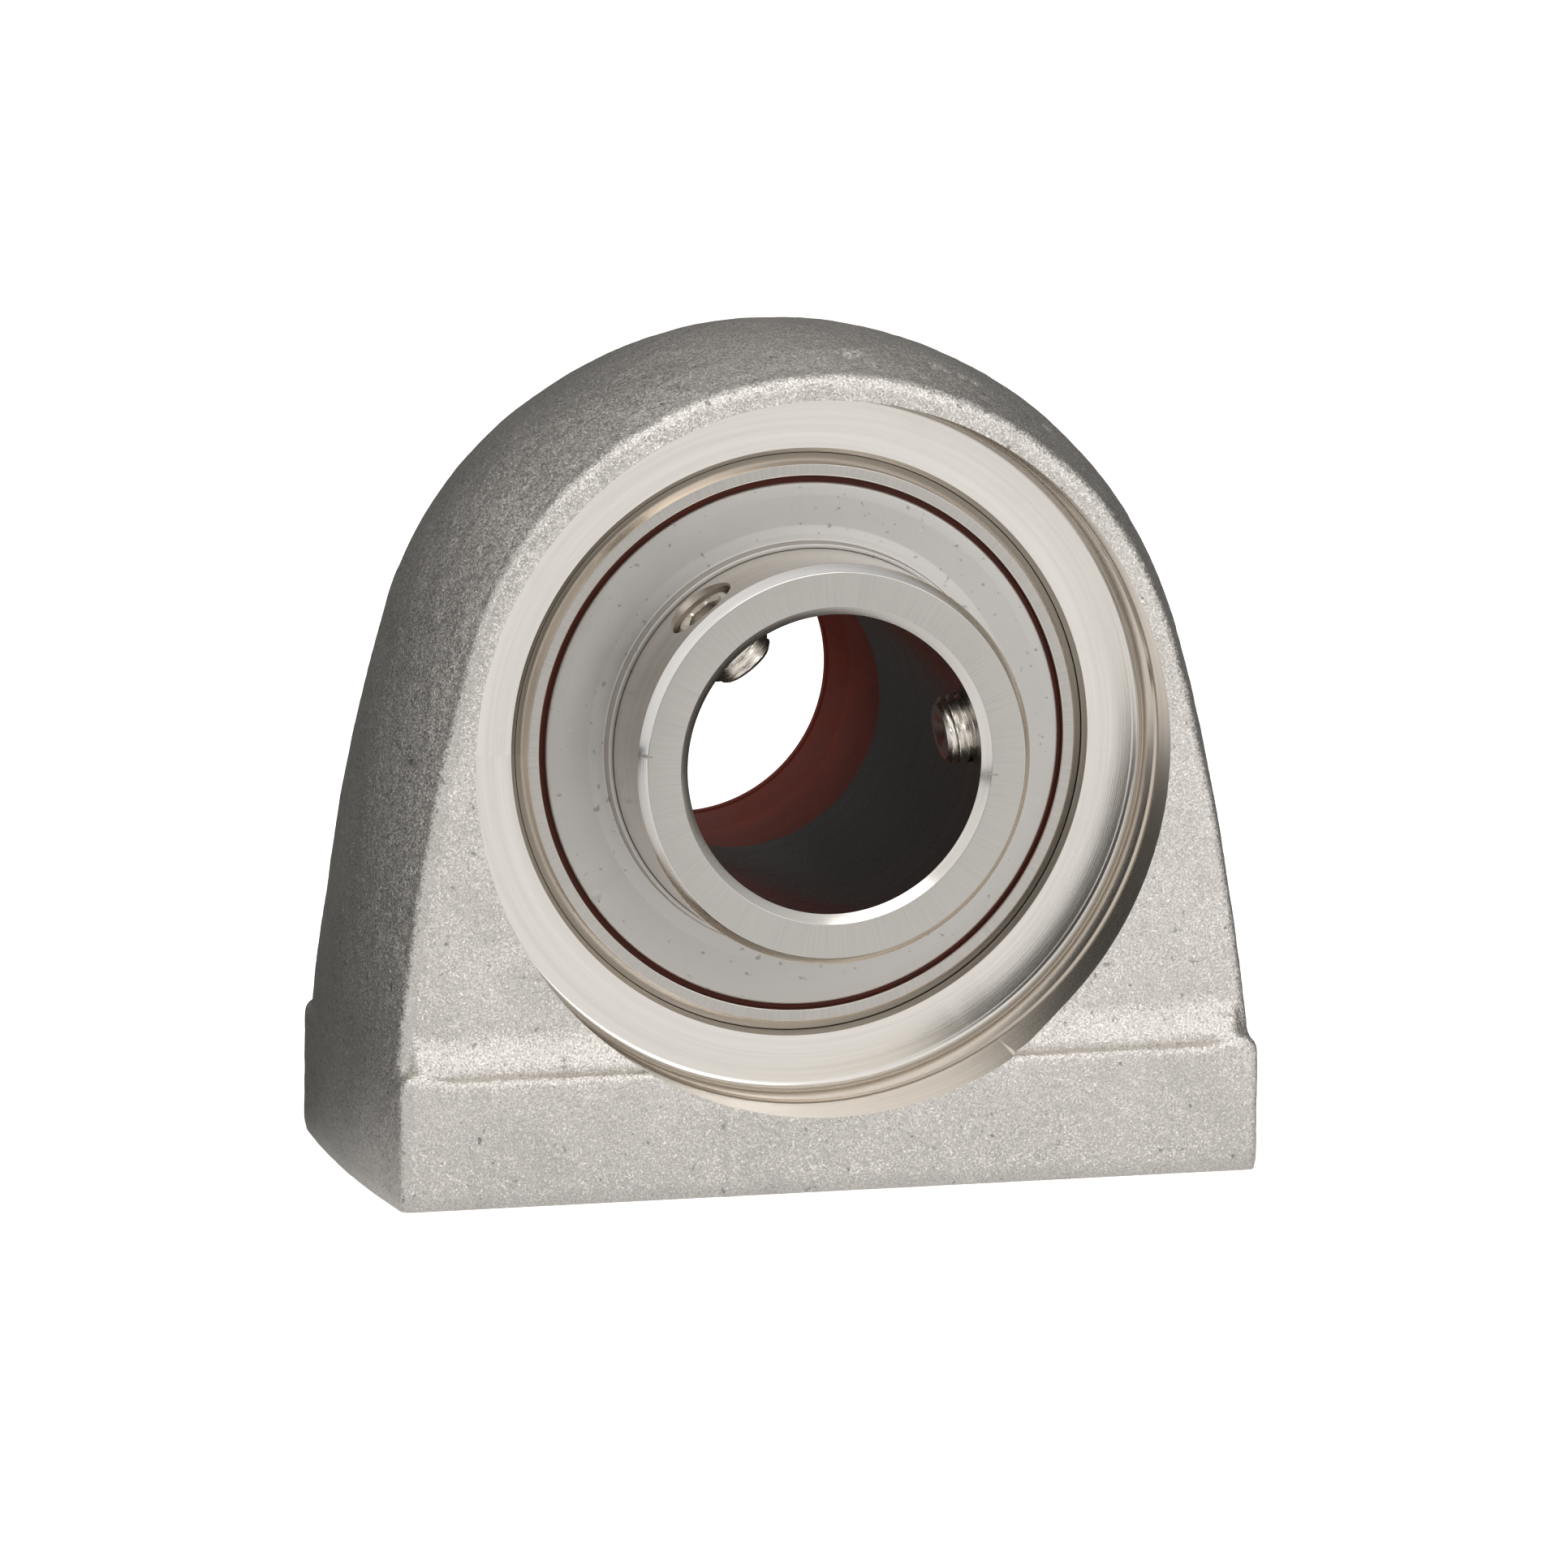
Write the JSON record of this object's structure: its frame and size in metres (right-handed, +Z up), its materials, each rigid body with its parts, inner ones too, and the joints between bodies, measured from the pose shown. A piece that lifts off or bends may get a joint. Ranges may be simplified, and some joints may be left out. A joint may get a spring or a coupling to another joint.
{
  "type": "pillow block bearing",
  "caption": "Compact tapped-base pillow block: cast iron housing with a self-aligning set-screw insert ball bearing, flinger seals, an open recess in front and a snap-in rear cover.",
  "frame": {"origin": "centre of the machined base, straight below the shaft's axis", "axes": "+X along the base's length, +Z up from the base, the shaft's axis along Y; the set-screw collar faces -Y and the end cover +Y"},
  "size_m": [0.0762, 0.0526, 0.0713],
  "materials": {
    "cast_iron_body": "coarse grey cast skin, machined recess and base",
    "ground_steel": "turned and ground",
    "ball_steel": "polished",
    "pressed_cage": "pressed sheet",
    "cage_rivets": "upset heads",
    "seal_steel": "pressed sheet",
    "seal_rubber": "moulded, dark red",
    "flinger_steel": "smooth rolled sheet",
    "set_screw_steel": "bright, machined socket",
    "cover_plastic": "moulded, fine satin",
    "cover_silicone": "moulded, dark red"
  },
  "bodies": {
    "housing": {"housing": "cast_iron_body"},
    "outer_race": {"outer_ring": "ground_steel", "front_seal_insert": "seal_steel", "rear_seal_insert": "seal_steel", "front_seal_lip": "seal_rubber", "rear_seal_lip": "seal_rubber"},
    "cage": {"cage_front": "pressed_cage", "cage_rear": "pressed_cage", "cage_rivets": "cage_rivets", "ball_1": "ball_steel", "ball_2": "ball_steel", "ball_3": "ball_steel", "ball_4": "ball_steel", "ball_5": "ball_steel", "ball_6": "ball_steel", "ball_7": "ball_steel", "ball_8": "ball_steel", "ball_9": "ball_steel"},
    "inner_race": {"inner_ring": "ground_steel", "front_flinger": "flinger_steel", "rear_flinger": "flinger_steel"},
    "set_screw_1": {"set_screw_1": "set_screw_steel"},
    "set_screw_2": {"set_screw_2": "set_screw_steel"},
    "end_cover": {"end_cover": "cover_plastic", "end_cover_seal": "cover_silicone"}
  },
  "joints": [
    {"name": "insert_swivel", "type": "hinge", "parent": "housing", "child": "outer_race", "pos_m": [0, 0, 0.0365], "axis": [1, 0, 0], "range_deg": [-2, 2]},
    {"name": "shaft_spin", "type": "hinge", "parent": "outer_race", "child": "inner_race", "pos_m": [0, 0, 0.0365], "axis": [0, 1, 0], "continuous": true},
    {"name": "cage_spin", "type": "hinge", "parent": "outer_race", "child": "cage", "pos_m": [0, 0, 0.0365], "axis": [0, 1, 0], "continuous": true},
    {"name": "set_screw_1_travel", "type": "slide", "parent": "inner_race", "child": "set_screw_1", "axis": [-0.6293, 0, 0.7771], "range_m": [-0.0023, 0.0015]},
    {"name": "set_screw_2_travel", "type": "slide", "parent": "inner_race", "child": "set_screw_2", "axis": [0.9877, 0, 0.1564], "range_m": [-0.0023, 0.0015]},
    {"name": "end_cover_pull", "type": "slide", "parent": "housing", "child": "end_cover", "axis": [0, 1, 0], "range_m": [0, 0.03]}
  ],
  "couplings": [
    {"joint": "cage_spin", "follows": "shaft_spin", "ratio": 0.3982}
  ]
}
